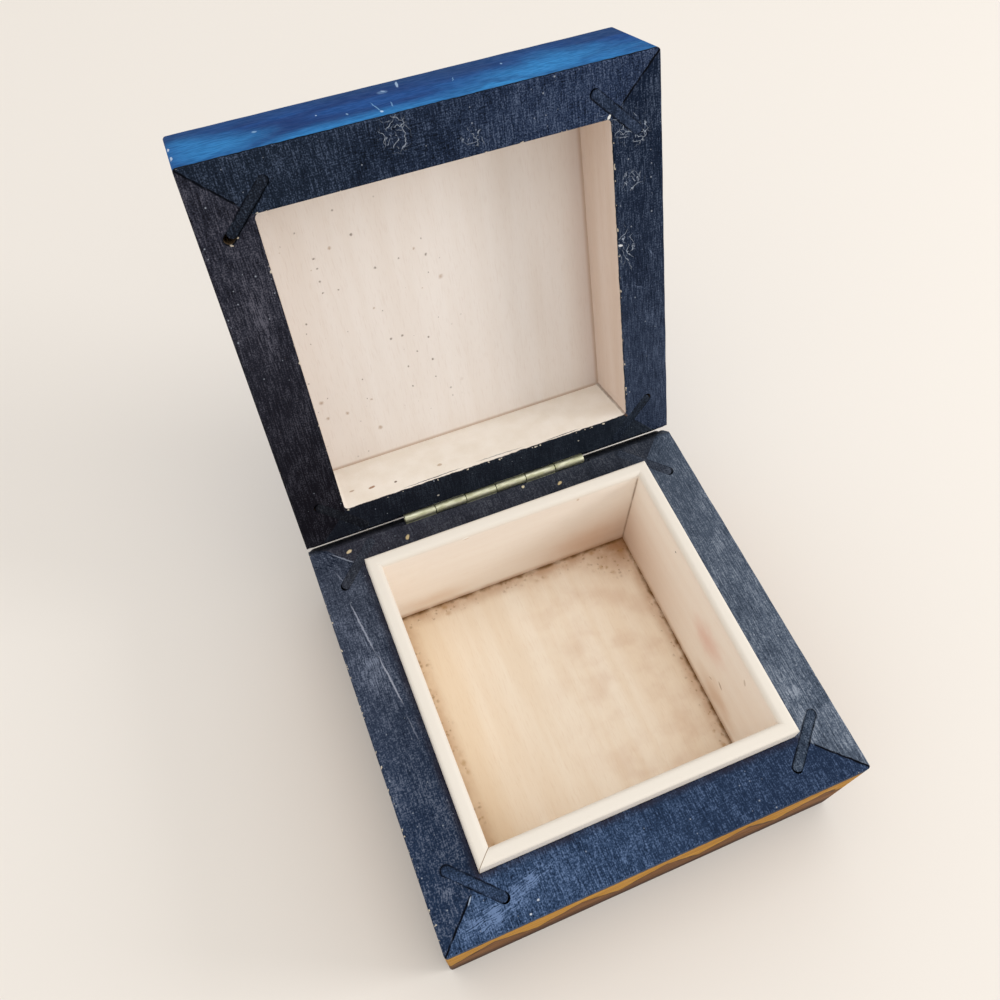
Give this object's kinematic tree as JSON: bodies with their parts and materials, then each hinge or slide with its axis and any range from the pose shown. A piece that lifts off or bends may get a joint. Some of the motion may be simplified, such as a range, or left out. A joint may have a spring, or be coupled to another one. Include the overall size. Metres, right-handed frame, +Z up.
{
  "type": "hinged wooden box",
  "caption": "Small square hinged keepsake box: mitred painted wooden rails, a bare-wood liner standing proud to locate the panelled lid, and a narrow brass hinge at the back.",
  "frame": {"origin": "centre of the underside of the base", "axes": "+Z up, +Y from the front to the hinge at the back, +X to the right seen from the front"},
  "size_m": [0.1, 0.1521, 0.1244],
  "materials": {
    "ochre_painted_wood": "brushed matt paint, navy on the contact face",
    "blue_painted_wood": "brushed matt paint, navy on the contact face",
    "navy_painted_wood": "brushed matt paint",
    "bare_linden": "sanded, unfinished",
    "hinge_brass": "bright, slightly dulled"
  },
  "bodies": {
    "base": {"base_front_rail": "ochre_painted_wood", "base_right_rail": "ochre_painted_wood", "base_back_rail": "ochre_painted_wood", "base_left_rail": "ochre_painted_wood", "base_key_front_left": "navy_painted_wood", "base_key_front_right": "navy_painted_wood", "base_key_back_right": "navy_painted_wood", "base_key_back_left": "navy_painted_wood", "floor_panel": "bare_linden", "liner_front": "bare_linden", "liner_right": "bare_linden", "liner_back": "bare_linden", "liner_left": "bare_linden", "hinge_base_leaf": "hinge_brass", "hinge_pin": "hinge_brass"},
    "lid": {"lid_front_rail": "blue_painted_wood", "lid_right_rail": "blue_painted_wood", "lid_back_rail": "blue_painted_wood", "lid_left_rail": "blue_painted_wood", "lid_key_front_left": "navy_painted_wood", "lid_key_front_right": "navy_painted_wood", "lid_key_back_right": "navy_painted_wood", "lid_key_back_left": "navy_painted_wood", "lid_panel": "blue_painted_wood", "hinge_lid_leaf": "hinge_brass"}
  },
  "joints": [
    {"name": "lid_hinge", "type": "hinge", "parent": "base", "child": "lid", "pos_m": [0, 0.0468, 0.0341], "axis": [1, 0, 0], "range_deg": [0, 111]}
  ]
}
